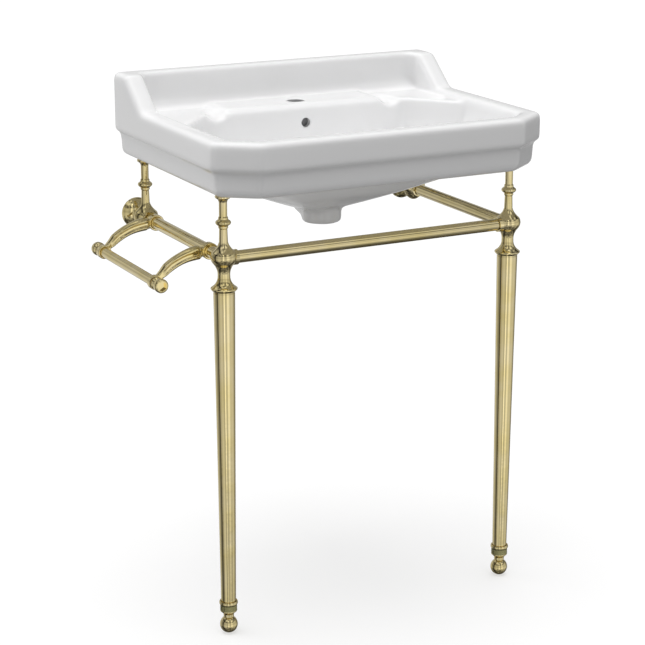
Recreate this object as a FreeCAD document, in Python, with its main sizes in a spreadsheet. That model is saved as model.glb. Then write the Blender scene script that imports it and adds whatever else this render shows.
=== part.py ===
import FreeCAD, Part
import Sketcher
import math
import os
from types import SimpleNamespace

from FreeCAD import Placement, Rotation, Vector

# Console basin on a front frame of turned brass tube, in millimetres.
# Depths are measured from the wall (front negative) and widths from the middle. The rails'
# height and those of the legs' feet are counted up from the floor, the basin's rim from the
# rails, everything else on the basin from its rim, and the knuckles from the rails. Every
# piece is then lowered, so that the origin lies on the wall, in the middle, at the height of
# the two wall bolts.

SIZES = {
    # basin, outside: heights from the rim
    "basin_width": 650.0,
    "basin_depth": 489.0,
    "rim_height": 210.4,
    "step_height": 52.0,
    "apron_height": 97.5,
    "splash_height": 57.5,
    "fixing_height": 65.5,
    "front_corner_across": 69.4,
    "front_corner_back": 52.0,
    "outer_corner_radius": 12.0,
    "step_inset": 9.75,
    "tier_draft": 2.4,
    "rim_outer_radius": 9.0,
    "step_edge_radius": 4.0,
    "apron_edge_radius": 13.0,
    # wings and splashback
    "wing_thickness": 39.0,
    "wing_top_depth": 56.0,
    "wing_foot_depth": 126.0,
    "wing_top_radius": 16.0,
    "wing_foot_radius": 30.0,
    "splash_thickness": 34.0,
    "splash_corner_radius": 22.0,
    "splash_cove": 28.0,
    "rim_inner_radius": 9.0,
    # tap deck
    "ledge_drop": 10.5,
    "platform_rise": 5.0,
    "platform_half_width": 160.0,
    "platform_front_depth": 134.0,
    "platform_corner_radius": 8.0,
    "platform_edge": 3.0,
    "tap_depth": 98.0,
    "tap_hole_diameter": 32.0,
    "tap_nut_diameter": 44.0,
    "tap_deck_thickness": 18.0,
    "channel_spacing": 358.0,
    "channel_radius": 24.0,
    "channel_drop": 17.0,
    "channel_start_depth": 78.0,
    # bowl
    "bowl_depth": 164.0,
    "bowl_back_depth": 142.0,
    "rim_front_width": 40.0,
    "bowl_corner_radius": 22.0,
    "waste_depth": 204.4,
    "waste_diameter": 46.0,
    "waste_seat_diameter": 60.0,
    "waste_seat_drop": 5.0,
    "waste_boss_diameter": 74.0,
    "waste_boss_height": 41.0,
    # overflow and the duct behind the bowl
    "overflow_height": 40.5,
    "overflow_diameter": 15.5,
    "overflow_dish_diameter": 27.0,
    "duct_width": 30.0,
    "duct_wall": 6.0,
    "duct_depth": 8.0,
    "duct_sill": 20.0,
    "ridge_width": 64.0,
    "ridge_wall": 8.0,
    "ridge_rise": 16.0,
    # service pocket behind the bowl
    "pocket_width": 460.0,
    "pocket_front_depth": 120.0,
    "pocket_roof_height": 38.5,
    "pocket_corner_radius": 12.0,
    "back_wall": 14.0,
    "wall_bolt_spacing": 280.0,
    "wall_bolt_hole_diameter": 14.0,
    # frame layout
    "post_spacing": 572.4,
    "front_post_depth": 396.0,
    "rear_post_depth": 47.3,
    "rail_height": 695.1,
    "rail_diameter": 22.2,
    "rail_wall": 1.5,
    "socket_clearance": 0.05,
    "socket_floor": 12.5,
    "socket_reach": 23.0,
    "socket_diameter": 27.0,
    # knuckles, turned: heights from the rails, but the collar's rim from its seat
    "bulb_diameter": 40.0,
    "knuckle_top": 28.9,
    "knuckle_top_diameter": 15.6,
    "neck_height": 30.6,
    "neck_diameter": 22.0,
    "collar_diameter": 46.7,
    "collar_rim_height": 6.5,
    "collar_seat": 57.1,
    "spigot_length": 24.0,
    "drop_height": 23.1,
    "drop_diameter": 18.0,
    # posts
    "post_diameter": 14.2,
    "post_stud_diameter": 8.0,
    "post_stud_length": 12.0,
    "bead_height": 22.0,
    "bead_diameter": 25.0,
    "bead_collar_diameter": 17.0,
    "cup_diameter": 27.5,
    "cup_height": 14.0,
    "pad_thickness": 2.0,
    "pad_diameter": 24.0,
    "stud_clearance": 0.1,
    # legs: heights from the floor
    "leg_top_diameter": 38.0,
    "leg_foot_diameter": 27.0,
    "leg_bore_diameter": 20.0,
    "leg_end_height": 46.0,
    "ferrule_top": 62.0,
    "ferrule_bottom": 39.5,
    "ferrule_lip_diameter": 33.6,
    "ferrule_waist_diameter": 30.6,
    "plug_length": 40.0,
    "stud_diameter": 10.0,
    "stud_running_clearance": 0.05,
    "stud_length": 44.0,
    "edge_break": 1.0,
    # levelling feet
    "ball_diameter": 32.3,
    "foot_neck_diameter": 19.0,
    "foot_gap": 2.3,
    # wall flanges
    "flange_diameter": 58.0,
    "flange_rim": 3.0,
    "flange_dome": 15.0,
    "flange_neck_lip": 3.0,
    "wall_stud_diameter": 7.0,
    "wall_stud_depth": 20.0,
    # towel rail on the left: its arms stand this far in from the front and the rear post
    "arm_front_depth": 60.4,
    "arm_rear_depth": 46.6,
    "arm_reach": 103.0,
    "arm_drop": 44.0,
    "arm_width": 12.0,
    "arm_root_height": 16.0,
    "arm_tip_across": 4.0,
    "arm_tip_down": 3.0,
    "arm_edge_radius": 3.5,
    "clamp_ring_diameter": 30.0,
    "eye_diameter": 25.0,
    "towel_bar_diameter": 18.0,
    "bar_overhang": 3.0,
    "finial_diameter": 19.0,
    "finial_length": 24.0,
    "finial_hex": 6.0,
    "finial_hex_depth": 5.0,
}

# Outline of the bowl's mouth and of the shallow dish it runs out into, from the back left
# corner round: shares of the half width across and of the depth from back to front.
MOUTH_OUTLINE = (
    (-0.72, 0.0), (0.72, 0.0), (1.0, 0.31), (1.0, 0.912),
    (0.874, 1.0), (-0.874, 1.0), (-1.0, 0.912), (-1.0, 0.31),
)
DISH_OUTLINE = (
    (-0.75, 0.0), (0.75, 0.0), (1.0, 0.25), (1.0, 0.75),
    (0.75, 1.0), (-0.75, 1.0), (-1.0, 0.75), (-1.0, 0.25),
)

# Levels of the bowl inside: drop below the ledge as a share of the bowl's depth, then the
# half width, the reach back and the reach forward from the waste, as shares of the mouth's,
# and how much of the dish's outline the level has.
BOWL_LEVELS = (
    (0.0, 1.0, 1.0, 1.0, 0.0),
    (0.2927, 0.969, 0.936, 0.967, 0.15),
    (0.4695, 0.874, 0.888, 0.873, 0.5),
    (0.5976, 0.724, 0.79, 0.7015, 0.85),
    (0.7195, 0.566, 0.695, 0.538, 1.0),
    (0.8537, 0.378, 0.60, 0.342, 1.0),
    (1.0, 0.161, 0.55, 0.146, 1.0),
)

# Levels of the belly outside, the same way.
BELLY_LEVELS = (
    (0.5061, 0.916, 1.064, 0.902, 0.5),
    (0.6098, 0.794, 1.0, 0.775, 0.85),
    (0.7317, 0.647, 0.92, 0.62, 1.0),
    (0.8537, 0.4825, 0.824, 0.452, 1.0),
    (0.9756, 0.3077, 0.712, 0.268, 1.0),
    (1.0793, 0.147, 0.615, 0.1047, 1.0),
)

DISH_ROUNDNESS = 0.35
SIDES = (("left", -1), ("right", 1))
FULL_TURN = 360.0


class Size:
    """A length: its value now and the sheet expression that gives it."""

    def __init__(self, value, text):
        self.value = value
        self.text = text

    def __add__(self, other):
        other = size(other)
        return Size(self.value + other.value, f"({self.text} + {other.text})")

    def __sub__(self, other):
        other = size(other)
        return Size(self.value - other.value, f"({self.text} - {other.text})")

    def __mul__(self, other):
        other = size(other)
        return Size(self.value * other.value, f"({self.text} * {other.text})")

    def __truediv__(self, other):
        other = size(other)
        return Size(self.value / other.value, f"({self.text} / {other.text})")

    def __radd__(self, other):
        return size(other) + self

    def __rsub__(self, other):
        return size(other) - self

    def __rmul__(self, other):
        return size(other) * self

    def __neg__(self):
        return size(0) - self

    def root(self):
        """Square root."""
        return Size(math.sqrt(self.value), f"sqrt({self.text})")


def size(value):
    """Any number as a Size."""
    return value if isinstance(value, Size) else Size(float(value), f"{float(value):.6f}")


doc = FreeCAD.newDocument("console_basin")
sheet = doc.addObject("Spreadsheet::Sheet", "Sizes")
for row, (word, number) in enumerate(SIZES.items(), start=1):
    sheet.set(f"A{row}", word)
    sheet.set(f"B{row}", str(number))
    sheet.setAlias(f"B{row}", word)
doc.recompute()
d = SimpleNamespace(**{word: Size(number, f"Sizes.{word}") for word, number in SIZES.items()})


# Lengths that several pieces share.
RAIL_Z = d.rail_height
RIM_Z = RAIL_Z + d.rim_height
STEP_Z = RIM_Z - d.step_height
APRON_Z = RIM_Z - d.apron_height
SPLASH_Z = RIM_Z + d.splash_height
ORIGIN_Z = RIM_Z - d.fixing_height
LEDGE_Z = RIM_Z - d.ledge_drop
PLATFORM_Z = LEDGE_Z + d.platform_rise
FLOOR_Z = LEDGE_Z - d.bowl_depth
BOSS_Z = FLOOR_Z - d.waste_boss_height
OVERFLOW_Z = RIM_Z - d.overflow_height
KNUCKLE_TOP_Z = RAIL_Z + d.knuckle_top
COLLAR_SEAT_Z = RAIL_Z - d.collar_seat
POST_TOP = APRON_Z - d.pad_thickness
POST_X = d.post_spacing / 2
RAIL_R = d.rail_diameter / 2
SOCKET_R = RAIL_R + d.socket_clearance
BASIN_HALF = d.basin_width / 2
MOUTH_HALF = BASIN_HALF - d.wing_thickness
MOUTH_FRONT = d.basin_depth - d.rim_front_width
LEG_BORE_R = d.leg_bore_diameter / 2
PLUG_R = LEG_BORE_R - d.socket_clearance
STUD_R = d.stud_diameter / 2
ARM_FRONT = d.front_post_depth - d.arm_front_depth
ARM_REAR = d.rear_post_depth + d.arm_rear_depth
EYE_X = -POST_X - d.arm_reach
EYE_Z = RAIL_Z - d.arm_drop


def bind(thing, path, value):
    """Ties one property to the sheet."""
    thing.setExpression(path, size(value).text)


def new_body(label, x=0, y=0):
    """A body whose own heights are counted from the floor, at x and y."""
    body = doc.addObject("PartDesign::Body", label)
    body.Label = label
    for axis, value in (("x", x), ("y", y), ("z", -ORIGIN_Z)):
        bind(body, f"Placement.Base.{axis}", value)
    return body


def new_sketch(body, name, role, offset=0):
    """A sketch on one of the body's own planes, moved along the plane's normal."""
    sketch = body.newObject("Sketcher::SketchObject", name)
    planes = {feature.Role: feature for feature in body.Origin.OriginFeatures}
    sketch.AttachmentSupport = [(planes[role], "")]
    sketch.MapMode = "FlatFace"
    bind(sketch, "AttachmentOffset.Base.z", offset)
    return sketch


def hold(sketch, kind, *where, value):
    """A dimension in the sketch, tied to the sheet."""
    value = size(value)
    index = sketch.addConstraint(Sketcher.Constraint(kind, *where, value.value))
    sketch.setExpression(f"Constraints[{index}]", value.text)


def pin_point(sketch, geometry, end, x, y):
    """Fixes one end of a line or arc at x and y."""
    hold(sketch, "DistanceX", -1, 1, geometry, end, value=x)
    hold(sketch, "DistanceY", -1, 1, geometry, end, value=y)


def arc_between(start, end, radius):
    """The short arc from start to end: a positive radius turns left, a negative right."""
    chord = end - start
    left = Vector(-chord.y, chord.x, 0).normalize()
    if radius < 0:
        left = -left
    rise = math.sqrt(max(radius * radius - chord.Length ** 2 / 4, 0.0))
    centre = (start + end) / 2 + left * rise
    first, last = (start, end) if radius > 0 else (end, start)
    angles = [math.atan2(p.y - centre.y, p.x - centre.x) for p in (first, last)]
    return Part.ArcOfCircle(Part.Circle(centre, Vector(0, 0, 1), abs(radius)), *angles)


def profile(body, name, role, points, offset=0):
    """A closed outline. Each point is x, y and, where an arc leaves it, its radius."""
    sketch = new_sketch(body, name, role, offset)
    spots = [Vector(size(p[0]).value, size(p[1]).value, 0) for p in points]
    ends = []
    for i, point in enumerate(points):
        start, end = spots[i], spots[(i + 1) % len(points)]
        if len(point) == 3:
            radius = size(point[2])
            index = sketch.addGeometry(arc_between(start, end, radius.value), False)
            hold(sketch, "Radius", index, value=radius if radius.value > 0 else -radius)
            ends.append((1, 2) if radius.value > 0 else (2, 1))
        else:
            index = sketch.addGeometry(Part.LineSegment(start, end), False)
            ends.append((1, 2))
    for i, point in enumerate(points):
        after = (i + 1) % len(points)
        sketch.addConstraint(Sketcher.Constraint("Coincident", i, ends[i][1], after, ends[after][0]))
        pin_point(sketch, i, ends[i][0], point[0], point[1])
    return sketch


def rounded(body, name, role, corners, offset=0):
    """A closed outline of straight lines. Each corner is x, y and its radius or 0."""
    sketch = new_sketch(body, name, role, offset)
    count = len(corners)
    spots = [Vector(size(c[0]).value, size(c[1]).value, 0) for c in corners]
    radii = [size(c[2]) for c in corners]
    cuts = []
    for i in range(count):
        back = (spots[i - 1] - spots[i]).normalize()
        ahead = (spots[(i + 1) % count] - spots[i]).normalize()
        reach = radii[i].value / math.tan(back.getAngle(ahead) / 2)
        cuts.append((spots[i] + back * reach, spots[i] + ahead * reach, back.cross(ahead).z < 0))
    lines = []
    for i in range(count):
        line = Part.LineSegment(cuts[i][1], cuts[(i + 1) % count][0])
        lines.append(sketch.addGeometry(line, False))
    marks = []
    for i in range(count):
        marks.append(sketch.addGeometry(Part.Point(spots[i]), True))
        pin_point(sketch, marks[i], 1, corners[i][0], corners[i][1])
    for i in range(count):
        before, after = lines[i - 1], lines[i]
        if radii[i].value == 0:
            sketch.addConstraint(Sketcher.Constraint("Coincident", before, 2, marks[i], 1))
            sketch.addConstraint(Sketcher.Constraint("Coincident", after, 1, marks[i], 1))
            continue
        turn = radii[i].value if cuts[i][2] else -radii[i].value
        arc = sketch.addGeometry(arc_between(cuts[i][0], cuts[i][1], turn), False)
        first, last = (1, 2) if turn > 0 else (2, 1)
        sketch.addConstraint(Sketcher.Constraint("PointOnObject", marks[i], 1, before))
        sketch.addConstraint(Sketcher.Constraint("PointOnObject", marks[i], 1, after))
        sketch.addConstraint(Sketcher.Constraint("Tangent", before, 2, arc, first))
        sketch.addConstraint(Sketcher.Constraint("Tangent", after, 1, arc, last))
        hold(sketch, "Radius", arc, value=radii[i])
    return sketch


def circles(body, name, role, spots, offset=0):
    """Circles, each given by its centre and radius."""
    sketch = new_sketch(body, name, role, offset)
    for x, y, radius in spots:
        centre = Vector(size(x).value, size(y).value, 0)
        circle = Part.Circle(centre, Vector(0, 0, 1), size(radius).value)
        index = sketch.addGeometry(circle, False)
        pin_point(sketch, index, 3, x, y)
        hold(sketch, "Radius", index, value=radius)
    return sketch


def added(body, before, feature, grows):
    """Recomputes and makes sure that the feature added or took away material."""
    doc.recompute()
    change = feature.Shape.Volume - before
    if (change > 0) != grows or abs(change) < 0.1:
        raise RuntimeError(f"{body.Label}: {feature.Name} changes the volume by {change:.3f}")
    return feature


def volume_of(body):
    """Volume so far, zero while the body is empty."""
    return body.Shape.Volume if body.Tip and not body.Shape.isNull() else 0.0


def extrude(body, sketch, length, cut=False, flip=False, middle=False):
    """A pad or a pocket from a sketch."""
    before = volume_of(body)
    kind = "Pocket" if cut else "Pad"
    feature = body.newObject(f"PartDesign::{kind}", f"{sketch.Name}_{kind.lower()}")
    feature.Profile = sketch
    feature.Type = 0
    bind(feature, "Length", length)
    feature.Midplane = middle
    feature.Reversed = flip
    sketch.Visibility = False
    return added(body, before, feature, not cut)


def turn(body, sketch, axis="V_Axis", cut=False):
    """A full turn of a sketch about one of its axes."""
    before = volume_of(body)
    kind = "Groove" if cut else "Revolution"
    feature = body.newObject(f"PartDesign::{kind}", f"{sketch.Name}_{kind.lower()}")
    feature.Profile = sketch
    feature.ReferenceAxis = (sketch, [axis])
    feature.Angle = FULL_TURN
    return added(body, before, feature, not cut)


def loft(body, sketches, cut=False, ruled=False):
    """A loft through sketches, added or cut away."""
    before = volume_of(body)
    kind = "SubtractiveLoft" if cut else "AdditiveLoft"
    feature = body.newObject(f"PartDesign::{kind}", f"{sketches[0].Name}_{kind.lower()}")
    feature.Profile = sketches[0]
    feature.Sections = sketches[1:]
    feature.Ruled = ruled
    return added(body, before, feature, not cut)


def fillet(body, name, radius, wanted):
    """Rounds every edge of the tip that the test picks."""
    base = body.Tip
    picked = [f"Edge{i}" for i, edge in enumerate(base.Shape.Edges, start=1) if wanted(edge)]
    if not picked:
        raise RuntimeError(f"{body.Label}: no edge for {name}")
    feature = body.newObject("PartDesign::Fillet", name)
    feature.Base = (base, picked)
    bind(feature, "Radius", radius)
    doc.recompute()
    return feature


def near(first, second, slack=0.01):
    """Whether two lengths are the same."""
    return abs(first - size(second).value) < slack


# ---------------------------------------------------------------- basin

def basin_outline(inset, overrun):
    """Outline of the basin seen from above, drawn in all round but run on into the wall."""
    across, back = d.front_corner_across, d.front_corner_back
    slant = (across * across + back * back).root()
    side_y = back - d.basin_depth + inset * (slant - back) / across
    front_x = BASIN_HALF - across - inset * (slant - across) / back
    side_x = BASIN_HALF - inset
    front_y = inset - d.basin_depth
    corner = d.outer_corner_radius
    return [
        (-side_x, overrun, 0), (-side_x, side_y, corner), (-front_x, front_y, corner),
        (front_x, front_y, corner), (side_x, side_y, corner), (side_x, overrun, 0),
    ]


def mouth_y(share):
    """Depth of a point of the bowl's mouth, by its share of the way from back to front."""
    return -d.bowl_back_depth - (MOUTH_FRONT - d.bowl_back_depth) * share


def bowl_back(level, gap):
    """Depth of a point that lies a gap behind the bowl's back wall at one of its levels."""
    reach = d.waste_depth - d.bowl_back_depth
    return gap - d.waste_depth + reach * BOWL_LEVELS[level][2]


def level_height(level):
    """Height of one level of the bowl or the belly."""
    return LEDGE_Z - d.bowl_depth * level[0]


def bowl_ring(body, name, level):
    """One level of the bowl or the belly, between the mouth's outline and the dish's."""
    _, wide, behind, ahead, dish = level
    half = MOUTH_HALF * wide
    back = (d.waste_depth - d.bowl_back_depth) * behind - d.waste_depth
    front = -d.waste_depth - (MOUTH_FRONT - d.waste_depth) * ahead
    radius = d.bowl_corner_radius * (1 - dish) + half * (DISH_ROUNDNESS * dish)
    corners = []
    for (mouth_x, mouth_down), (dish_x, dish_down) in zip(MOUTH_OUTLINE, DISH_OUTLINE):
        across = mouth_x + (dish_x - mouth_x) * dish
        down = mouth_down + (dish_down - mouth_down) * dish
        corners.append((half * across, back + (front - back) * down, radius))
    return rounded(body, name, "XY_Plane", corners, level_height(level))


def bowl_rings(body, name, levels):
    """All levels of a bowl or belly, from the top down."""
    return [bowl_ring(body, f"{name}_{i}", level) for i, level in enumerate(levels)]


def level_edge(height, depth):
    """Test for an edge that lies level at a height and straight across at a depth."""
    def wanted(edge):
        box = edge.BoundBox
        return all(near(*pair) for pair in (
            (box.ZMin, height), (box.ZMax, height), (box.YMin, -depth), (box.YMax, -depth)))
    return wanted


def basin_shell(body):
    """Two-tier apron, wings and splashback, with every front edge rounded."""
    overrun = d.back_wall
    top = rounded(body, "upper_tier", "XY_Plane", basin_outline(size(0), overrun), STEP_Z)
    extrude(body, top, RIM_Z - STEP_Z)

    lower = rounded(body, "lower_tier_top", "XY_Plane",
                    basin_outline(d.step_inset, overrun), STEP_Z)
    bottom = rounded(body, "lower_tier_bottom", "XY_Plane",
                     basin_outline(d.step_inset + d.tier_draft, overrun), APRON_Z)
    loft(body, [lower, bottom], ruled=True)

    toe = -d.wing_foot_depth - d.wing_foot_radius
    wing = rounded(body, "wing_side", "YZ_Plane", [
        (overrun, STEP_Z, 0), (toe, STEP_Z, 0), (toe, RIM_Z, 0),
        (-d.wing_foot_depth, RIM_Z, d.wing_foot_radius),
        (-d.wing_top_depth, SPLASH_Z, d.wing_top_radius), (overrun, SPLASH_Z, 0),
    ])
    extrude(body, wing, d.basin_width, middle=True)

    side_down, front_across = MOUTH_OUTLINE[3][1], MOUTH_OUTLINE[4][0]
    well = rounded(body, "well", "XY_Plane", [
        (-MOUTH_HALF, -d.splash_thickness, d.splash_corner_radius),
        (-MOUTH_HALF, mouth_y(side_down), d.bowl_corner_radius),
        (-MOUTH_HALF * front_across, -MOUTH_FRONT, d.bowl_corner_radius),
        (MOUTH_HALF * front_across, -MOUTH_FRONT, d.bowl_corner_radius),
        (MOUTH_HALF, mouth_y(side_down), d.bowl_corner_radius),
        (MOUTH_HALF, -d.splash_thickness, d.splash_corner_radius),
    ], SPLASH_Z)
    extrude(body, well, SPLASH_Z - LEDGE_Z, cut=True)

    fillet(body, "rim_outer_edge", d.rim_outer_radius, level_edge(RIM_Z, d.basin_depth))
    fillet(body, "rim_inner_edge", d.rim_inner_radius, level_edge(RIM_Z, MOUTH_FRONT))
    fillet(body, "step_edge", d.step_edge_radius, level_edge(STEP_Z, d.basin_depth))
    fillet(body, "apron_edge", d.apron_edge_radius,
           level_edge(APRON_Z, d.basin_depth - d.step_inset - d.tier_draft))


def wall_face(body):
    """Everything behind the wall's plane cut off, for one flat back."""
    half = d.basin_width
    behind = rounded(body, "behind_wall", "XZ_Plane", [
        (-half, APRON_Z - half, 0), (half, APRON_Z - half, 0),
        (half, SPLASH_Z + half, 0), (-half, SPLASH_Z + half, 0),
    ])
    extrude(body, behind, d.back_wall * 2, cut=True)


def tap_deck(body):
    """Cove at the foot of the splashback, and the raised tap platform."""
    sunk = d.platform_rise
    foot = -d.splash_thickness - d.splash_cove
    cove = profile(body, "splash_cove", "YZ_Plane", [
        (-d.splash_thickness + sunk, LEDGE_Z - sunk),
        (-d.splash_thickness + sunk, LEDGE_Z + d.splash_cove),
        (-d.splash_thickness, LEDGE_Z + d.splash_cove, -d.splash_cove),
        (foot, LEDGE_Z), (foot, LEDGE_Z - sunk),
    ])
    extrude(body, cove, 2 * MOUTH_HALF, middle=True)
    levels = []
    for name, inset, height in (("foot", 0, LEDGE_Z), ("top", d.platform_edge, PLATFORM_Z)):
        half = d.platform_half_width - inset
        front = inset - d.platform_front_depth
        levels.append(rounded(body, f"platform_{name}", "XY_Plane", [
            (-half, -d.splash_thickness, 0), (-half, front, d.platform_corner_radius),
            (half, front, d.platform_corner_radius), (half, -d.splash_thickness, 0),
        ], height))
    loft(body, levels, ruled=True)


def channels(body):
    """A scooped drain channel at each end of the platform, falling towards the bowl."""
    start, end = d.channel_start_depth, d.bowl_back_depth + d.channel_radius
    for side_name, side in SIDES:
        ends = [circles(body, f"channel_{side_name}_{name}", "XZ_Plane",
                        [(d.channel_spacing / 2 * side, LEDGE_Z + d.channel_radius - drop,
                          d.channel_radius)], depth)
                for name, drop, depth in (("start", 0, start), ("end", d.channel_drop, end))]
        loft(body, ends, cut=True, ruled=True)


def belly(body):
    """Closed underside of the bowl, the waste boss and the ridge over the overflow duct."""
    loft(body, bowl_rings(body, "belly", BELLY_LEVELS))
    boss = circles(body, "waste_boss", "XY_Plane",
                   [(0, -d.waste_depth, d.waste_boss_diameter / 2)], BOSS_Z)
    extrude(body, boss, FLOOR_Z - BOSS_Z)
    outside = d.duct_wall + d.duct_depth + d.ridge_wall
    heights = [level_height(level) for level in BOWL_LEVELS]
    ridge = rounded(body, "duct_ridge", "YZ_Plane", [
        (bowl_back(1, outside), heights[2], 0), (bowl_back(3, outside), heights[3], 0),
        (bowl_back(5, outside), heights[5], d.ridge_rise),
        (bowl_back(5, outside), BOSS_Z + d.ridge_rise, d.ridge_wall),
        (-d.waste_depth, BOSS_Z + d.ridge_rise / 4, 0), (-d.waste_depth, heights[5], 0),
    ])
    extrude(body, ridge, d.ridge_width, middle=True)


def bowl_inside(body):
    """The bowl and the waste hole with its seat."""
    loft(body, bowl_rings(body, "bowl", BOWL_LEVELS), cut=True)
    over = FLOOR_Z + d.edge_break
    waste = profile(body, "waste", "XZ_Plane", [
        (0, BOSS_Z - d.edge_break), (d.waste_diameter / 2, BOSS_Z - d.edge_break),
        (d.waste_diameter / 2, FLOOR_Z - d.waste_seat_drop), (d.waste_seat_diameter / 2, FLOOR_Z),
        (d.waste_seat_diameter / 2, over), (0, over),
    ], d.waste_depth)
    turn(body, waste, cut=True)


def overflow(body):
    """Overflow hole in a dished seat, and the duct that leads it down to the waste hole."""
    inner, outer = d.duct_wall, d.duct_wall + d.duct_depth
    sill = BOSS_Z + d.duct_sill
    bore = d.waste_diameter / 2 - d.edge_break * 2 - d.waste_depth
    heights = [level_height(level) for level in BOWL_LEVELS]
    top = OVERFLOW_Z + d.overflow_diameter / 2 + d.edge_break
    duct = profile(body, "overflow_duct", "YZ_Plane", [
        (bowl_back(0, inner), top), (bowl_back(0, outer), top),
        (bowl_back(2, outer), heights[2]), (bowl_back(4, outer), heights[4]),
        (bowl_back(5, outer), heights[5]), (bowl_back(5, outer), sill), (bore, sill),
        (bore, sill + d.duct_depth), (bowl_back(5, inner), sill + d.duct_depth),
        (bowl_back(5, inner), heights[5]), (bowl_back(4, inner), heights[4]),
        (bowl_back(2, inner), heights[2]),
    ])
    extrude(body, duct, d.duct_width, cut=True, middle=True)
    start = bowl_back(1, inner)
    spot = (0, OVERFLOW_Z, d.overflow_diameter / 2)
    hole = circles(body, "overflow", "XZ_Plane", [spot], -start)
    extrude(body, hole, d.duct_wall * 2, cut=True, flip=True)
    dish = [circles(body, f"dish_{name}", "XZ_Plane", [(0, OVERFLOW_Z, across / 2)], -depth)
            for name, across, depth in (
                ("face", d.overflow_dish_diameter, bowl_back(1, 0)),
                ("foot", d.overflow_diameter, start))]
    loft(body, dish, cut=True, ruled=True)


def tap_and_fixings(body):
    """Tap hole, the service pocket behind the bowl and the two holes for the wall bolts."""
    half, corner = d.pocket_width / 2, d.pocket_corner_radius
    roof = RIM_Z - d.pocket_roof_height
    pocket = rounded(body, "service_pocket", "XY_Plane", [
        (-half, -d.back_wall, corner), (-half, -d.pocket_front_depth, corner),
        (half, -d.pocket_front_depth, corner), (half, -d.back_wall, corner),
    ], APRON_Z)
    extrude(body, pocket, roof - APRON_Z, cut=True, flip=True)
    nut = circles(body, "tap_nut_recess", "XY_Plane",
                  [(0, -d.tap_depth, d.tap_nut_diameter / 2)], PLATFORM_Z - d.tap_deck_thickness)
    extrude(body, nut, PLATFORM_Z - d.tap_deck_thickness - roof + d.edge_break, cut=True)
    tap = circles(body, "tap_hole", "XY_Plane",
                  [(0, -d.tap_depth, d.tap_hole_diameter / 2)], PLATFORM_Z + d.edge_break)
    extrude(body, tap, d.tap_deck_thickness + d.edge_break * 2, cut=True)
    spots = [(d.wall_bolt_spacing / 2 * side, ORIGIN_Z, d.wall_bolt_hole_diameter / 2)
             for _, side in SIDES]
    bolts = circles(body, "wall_bolt_holes", "XZ_Plane", spots, d.back_wall + d.edge_break)
    extrude(body, bolts, d.back_wall + d.edge_break * 2, cut=True)


def make_basin():
    """Glazed china basin: shell first, then deck and belly, then everything hollow."""
    body = new_body("basin")
    basin_shell(body)
    wall_face(body)
    tap_deck(body)
    belly(body)
    bowl_inside(body)
    overflow(body)
    channels(body)
    tap_and_fixings(body)


# ---------------------------------------------------------------- frame

def knuckle_head(foot):
    """Outline of a knuckle from its top down to its foot points, out from the axis."""
    bulb = d.bulb_diameter / 2
    bore = d.post_stud_diameter / 2 + d.stud_clearance
    bottom = KNUCKLE_TOP_Z - d.post_stud_length - d.stud_clearance
    return [
        *foot,
        (bulb * 0.86, RAIL_Z - bulb * 0.45, bulb),
        (bulb * 0.95, RAIL_Z + bulb * 0.55, bulb * -1.8),
        (d.knuckle_top_diameter / 2, KNUCKLE_TOP_Z), (bore, KNUCKLE_TOP_Z),
        (bore, bottom), (0, bottom),
    ]


def sockets(body, directions):
    """Socket collars for the rails, bored to the socket floor."""
    for name, role, flip in directions:
        collar = circles(body, f"{name}_collar", role, [(0, RAIL_Z, d.socket_diameter / 2)])
        extrude(body, collar, d.socket_reach, flip=flip)
    for name, role, flip in directions:
        reach = -d.socket_reach if flip else d.socket_reach
        bore = circles(body, f"{name}_bore", role, [(0, RAIL_Z, SOCKET_R)], reach)
        extrude(body, bore, d.socket_reach - d.socket_floor, cut=True, flip=flip)


def make_front_knuckle(side_name, side):
    """Turned knuckle that carries the crossbar, the side rail, a post and the leg."""
    body = new_body(f"knuckle_front_{side_name}", POST_X * side, -d.front_post_depth)
    collar, neck, edge = d.collar_diameter / 2, d.neck_diameter / 2, d.edge_break
    rim = COLLAR_SEAT_Z + d.collar_rim_height
    end = COLLAR_SEAT_Z - d.spigot_length
    foot = [
        (0, end), (PLUG_R - edge, end), (PLUG_R, end + edge), (PLUG_R, COLLAR_SEAT_Z),
        (collar - edge * 3, COLLAR_SEAT_Z), (collar, rim - edge * 3), (collar, rim - edge * 1.5),
        (collar - edge * 1.5, rim, -d.neck_diameter), (neck, RAIL_Z - d.neck_height, neck * -2.9),
    ]
    turn(body, profile(body, "turned", "XZ_Plane", knuckle_head(foot)))
    sockets(body, [("cross", "YZ_Plane", side > 0), ("side", "XZ_Plane", True)])


def make_rear_knuckle(side_name, side):
    """Rear knuckle with a rounded drop below, between the side rail and the wall flange."""
    body = new_body(f"knuckle_rear_{side_name}", POST_X * side, -d.rear_post_depth)
    drop, bottom = d.drop_diameter / 2, RAIL_Z - d.drop_height
    foot = [(0, bottom, drop * 1.7), (drop, bottom + drop / 3, drop * 2.4)]
    turn(body, profile(body, "turned", "XZ_Plane", knuckle_head(foot)))
    sockets(body, [("front", "XZ_Plane", False), ("back", "XZ_Plane", True)])


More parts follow.
